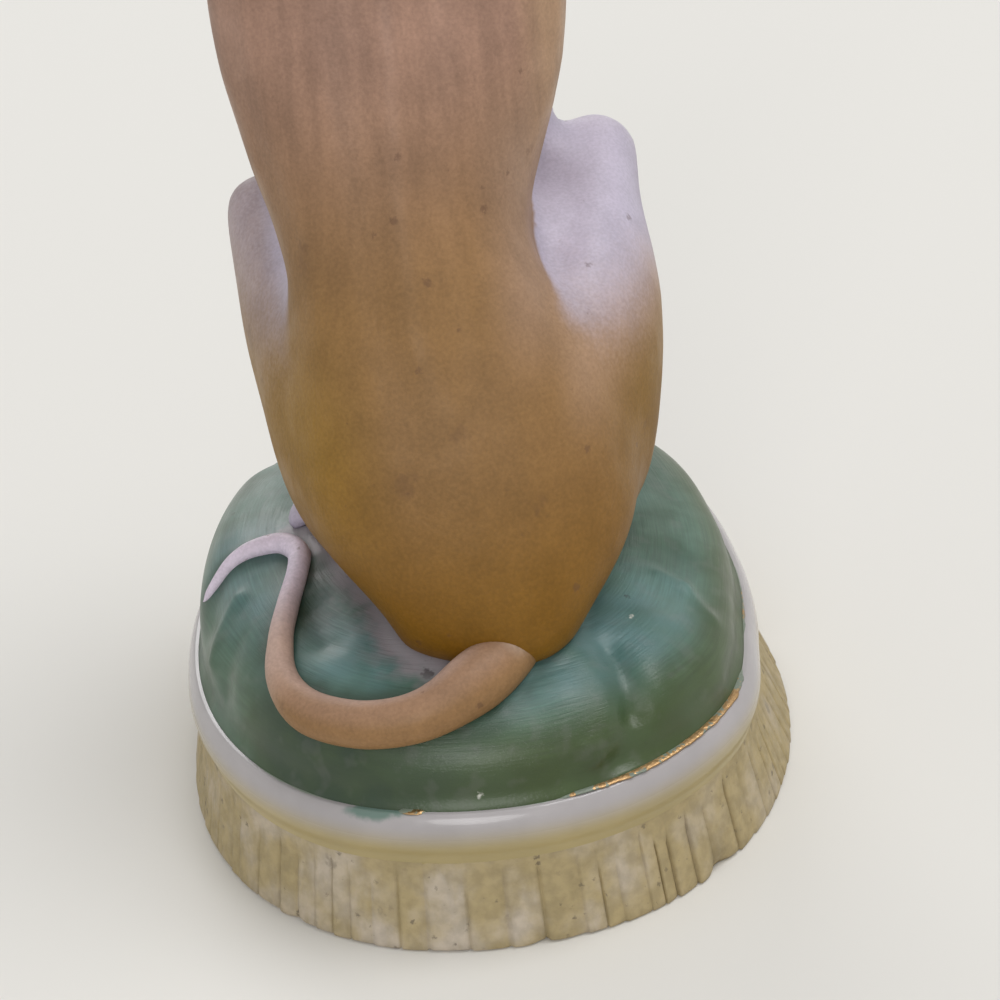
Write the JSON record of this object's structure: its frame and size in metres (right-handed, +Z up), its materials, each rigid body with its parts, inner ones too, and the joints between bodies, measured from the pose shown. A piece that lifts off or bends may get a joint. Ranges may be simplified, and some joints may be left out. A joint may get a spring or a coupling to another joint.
{
  "type": "whippet figurine",
  "caption": "Seated whippet figurine in painted bisque porcelain, tan and white, on a puffed green oval cushion with a white rolled rim, a worn gilt line and a fluted fringe base.",
  "frame": {"origin": "centre of the footprint on the table", "axes": "+Z up, -Y the way the dog faces, +X to the dog's left"},
  "size_m": [0.062, 0.073, 0.1173],
  "materials": {
    "bisque": "unglazed cream bisque",
    "white_glaze": "clear gloss glaze",
    "gilt": "worn bright gilding",
    "green_enamel": "brushed green enamel, semi-gloss",
    "tan_bisque": "sprayed tan, satin",
    "white_bisque": "white bisque, satin"
  },
  "bodies": {
    "root": {"base_fringe": "bisque", "base_rim": "white_glaze", "gilt_line": "gilt", "cushion": "green_enamel", "torso": "tan_bisque", "neck": "tan_bisque", "head": "tan_bisque", "left_ear": "tan_bisque", "right_ear": "tan_bisque", "left_thigh": "tan_bisque", "right_thigh": "tan_bisque", "tail": "tan_bisque", "left_shank": "white_bisque", "left_hind_foot": "white_bisque", "left_foreleg": "white_bisque", "left_fore_paw": "white_bisque", "right_shank": "white_bisque", "right_hind_foot": "white_bisque", "right_foreleg": "white_bisque", "right_fore_paw": "white_bisque"}
  },
  "joints": []
}
